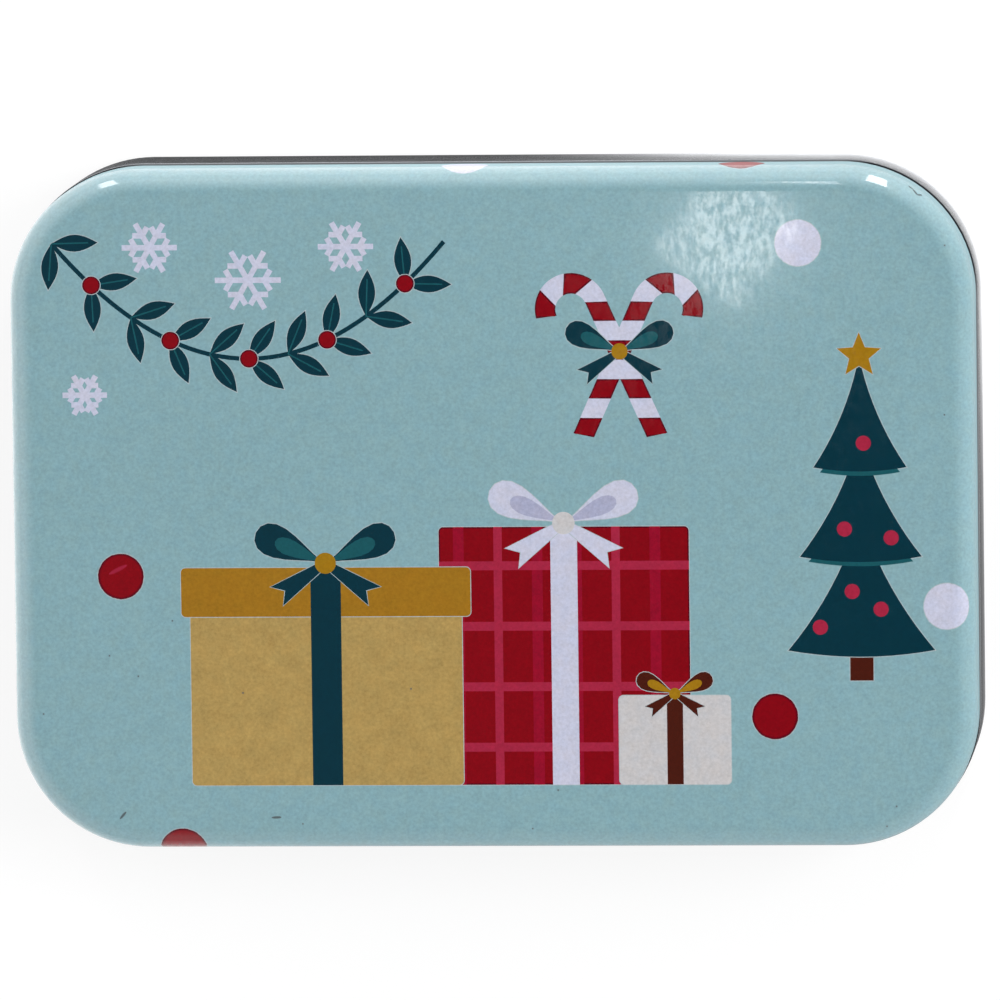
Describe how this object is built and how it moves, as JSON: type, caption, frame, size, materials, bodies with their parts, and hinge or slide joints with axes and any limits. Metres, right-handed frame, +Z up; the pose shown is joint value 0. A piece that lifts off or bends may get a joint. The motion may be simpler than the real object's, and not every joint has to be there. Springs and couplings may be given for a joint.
{
  "type": "gift card tin",
  "caption": "Low rectangular tin with rounded corners and a printed slip-on lid, sized to hold a gift card.",
  "frame": {"origin": "middle of the underside, on the surface that the tin rests on", "axes": "+X along the long side, +Y towards the top of the lid's print, +Z up through the lid"},
  "size_m": [0.108, 0.0764, 0.019],
  "materials": {
    "tinplate": "bare tinplate, satin with a faint rolled grain",
    "lid_print": "printed tinplate under gloss varnish"
  },
  "bodies": {
    "base": {"base": "tinplate"},
    "lid": {"lid": "lid_print"}
  },
  "joints": [
    {"name": "lid_lift", "type": "slide", "parent": "base", "child": "lid", "axis": [0, 0, 1], "range_m": [0, 0.03]}
  ]
}
